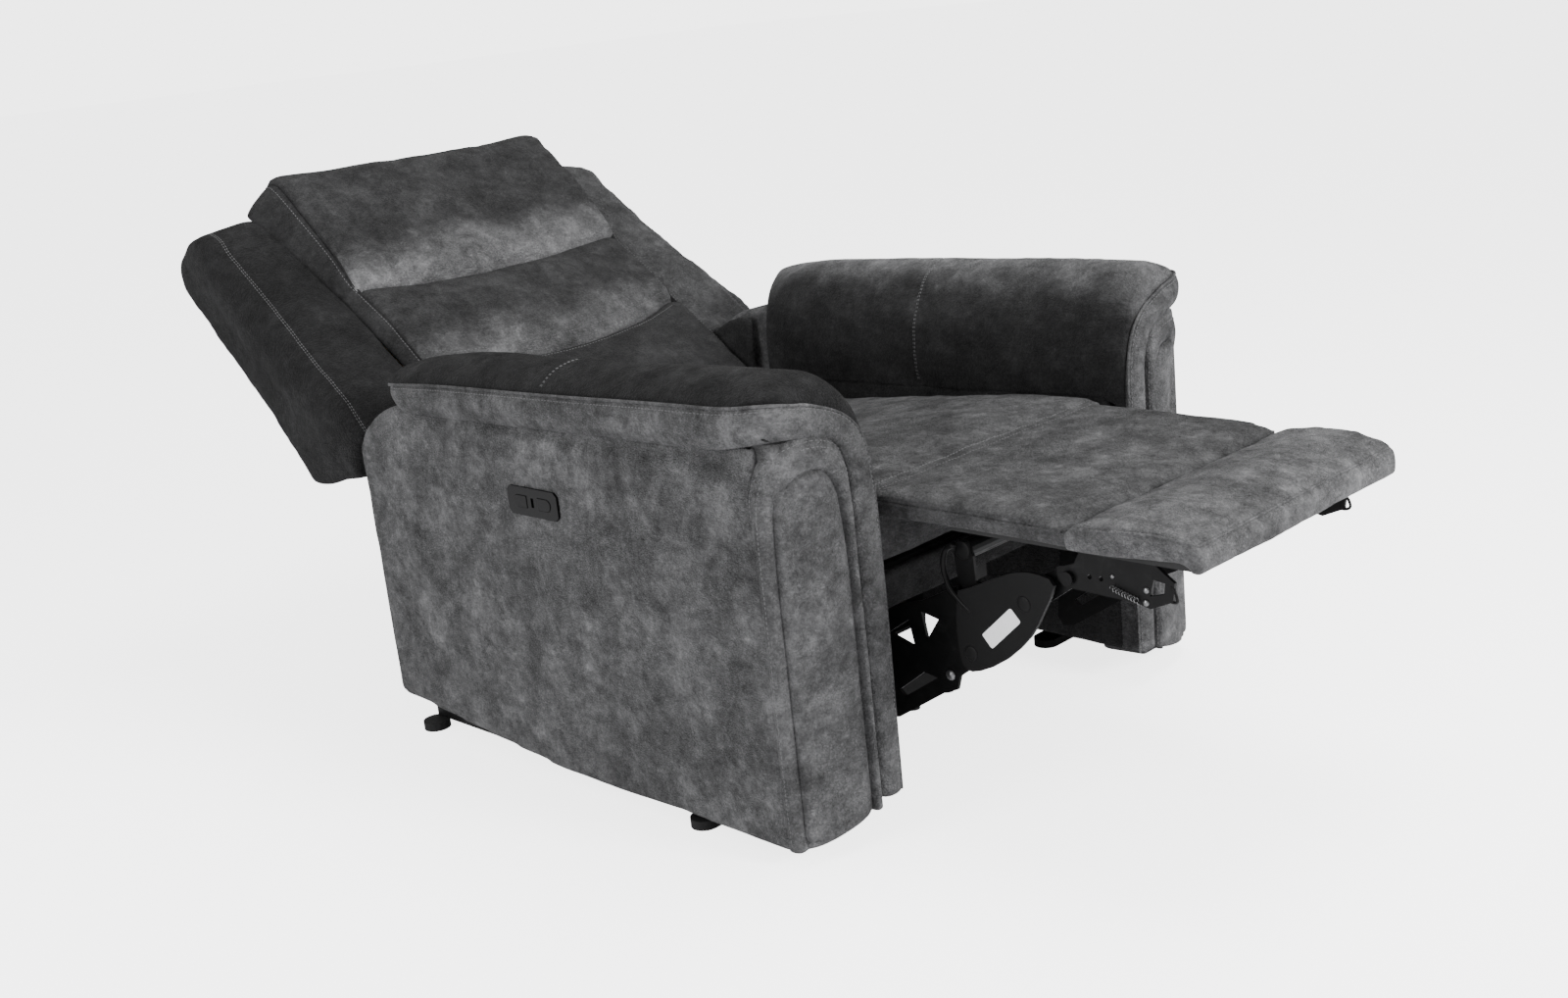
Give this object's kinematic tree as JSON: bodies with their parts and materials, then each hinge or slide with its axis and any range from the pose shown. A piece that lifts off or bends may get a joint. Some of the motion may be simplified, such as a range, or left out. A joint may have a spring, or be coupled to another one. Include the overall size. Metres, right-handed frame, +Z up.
{
  "type": "recliner armchair",
  "caption": "Power recliner armchair in mottled grey suede with padded wraparound arms, winged three-cushion back, folding legrest, side control plate and wall-saver floor frame.",
  "frame": {"origin": "on the floor, in the middle of the overall box of the chair reclined with its legrest out", "axes": "+Z up; -Y is the way the sitter faces, so the legrest is towards -Y and the back towards +Y; +X is the sitter's left"},
  "size_m": [0.93, 1.9536, 0.8708],
  "materials": {
    "grey_suede": "mottled brushed suede with a fine leather-like grain and tonal stitching",
    "lining": "black woven lining",
    "black_steel": "satin black powder coat",
    "plywood": "plain plywood",
    "black_plastic": "fine moulded texture",
    "gloss_trim": "gloss black",
    "rubber_feet": "matt",
    "rail_aluminium": "plain extruded"
  },
  "bodies": {
    "base": {"base_front_rail": "black_steel", "base_rear_rail": "black_steel", "base_inner_rail_left": "black_steel", "base_outer_rail_left": "black_steel", "foot_front_left": "rubber_feet", "foot_rear_left": "rubber_feet", "glide_strip_left": "rubber_feet", "base_inner_rail_right": "black_steel", "base_outer_rail_right": "black_steel", "foot_front_right": "rubber_feet", "foot_rear_right": "rubber_feet", "glide_strip_right": "rubber_feet"},
    "chassis": {"arm_side_cover_left": "grey_suede", "arm_board_left": "plywood", "arm_pad_left": "grey_suede", "arm_inner_panel_left": "grey_suede", "arm_front_band_left": "grey_suede", "arm_front_panel_left": "grey_suede", "side_plate_left": "black_steel", "arm_side_cover_right": "grey_suede", "arm_board_right": "plywood", "arm_pad_right": "grey_suede", "arm_inner_panel_right": "grey_suede", "arm_front_band_right": "grey_suede", "arm_front_panel_right": "grey_suede", "side_plate_right": "black_steel", "control_plate": "gloss_trim", "seat_cushion": "grey_suede", "seat_deck": "lining", "seat_front_panel": "grey_suede", "seat_front_rail": "plywood", "seat_rear_rail": "black_steel", "drive_rail": "rail_aluminium", "drive_motor": "black_plastic", "power_inlet": "black_plastic"},
    "back": {"lumbar_cushion": "grey_suede", "middle_cushion": "grey_suede", "head_pillow": "grey_suede", "back_board": "plywood", "back_cover": "grey_suede", "wing_left": "grey_suede", "wing_right": "grey_suede", "back_bracket_left": "black_steel", "back_bracket_right": "black_steel"},
    "legrest": {"legrest_board": "lining", "calf_pad": "grey_suede", "foot_pad": "grey_suede", "legrest_bracket_left": "black_steel", "legrest_bracket_right": "black_steel"},
    "rear_links": {"torque_tube": "black_steel", "rear_link_left": "black_steel", "rear_link_right": "black_steel"},
    "front_links": {"front_tube": "black_steel", "front_link_left": "black_steel", "front_link_right": "black_steel", "link_cover_left": "black_plastic", "link_cover_right": "black_plastic"},
    "drive_nut": {"drive_nut": "black_plastic"},
    "button_open": {"button_open": "black_plastic"},
    "button_close": {"button_close": "black_plastic"}
  },
  "joints": [
    {"name": "wall_saver_glide", "type": "slide", "parent": "base", "child": "chassis", "axis": [0, 1, 0], "range_m": [0, 0.1005]},
    {"name": "back_recline", "type": "hinge", "parent": "chassis", "child": "back", "pos_m": [0, 0.2742, 0.384], "axis": [1, 0, 0], "range_deg": [0, 43]},
    {"name": "legrest_fold", "type": "hinge", "parent": "chassis", "child": "legrest", "pos_m": [0, -0.5528, 0.459], "axis": [1, 0, 0], "range_deg": [0, 90]},
    {"name": "rear_link_pivot", "type": "hinge", "parent": "chassis", "child": "rear_links", "pos_m": [0, -0.3928, 0.31], "axis": [1, 0, 0], "range_deg": [0, 92.4]},
    {"name": "front_link_pivot", "type": "hinge", "parent": "rear_links", "child": "front_links", "pos_m": [0, -0.6108, 0.24], "axis": [1, 0, 0], "range_deg": [-97.2, 0]},
    {"name": "drive_nut_slide", "type": "slide", "parent": "chassis", "child": "drive_nut", "axis": [0, 1, 0], "range_m": [0, 0.0652]},
    {"name": "button_open_press", "type": "slide", "parent": "chassis", "child": "button_open", "axis": [1, 0, 0], "range_m": [0, 0.0015], "stiffness_N_per_m": 300},
    {"name": "button_close_press", "type": "slide", "parent": "chassis", "child": "button_close", "axis": [1, 0, 0], "range_m": [0, 0.0015], "stiffness_N_per_m": 300}
  ],
  "couplings": [
    {"joint": "wall_saver_glide", "follows": "back_recline", "m_per_rad": 0.13325},
    {"joint": "rear_link_pivot", "follows": "legrest_fold", "ratio": 1.0244},
    {"joint": "front_link_pivot", "follows": "legrest_fold", "ratio": -1.0778},
    {"joint": "drive_nut_slide", "follows": "legrest_fold", "m_per_rad": 0.04138}
  ]
}
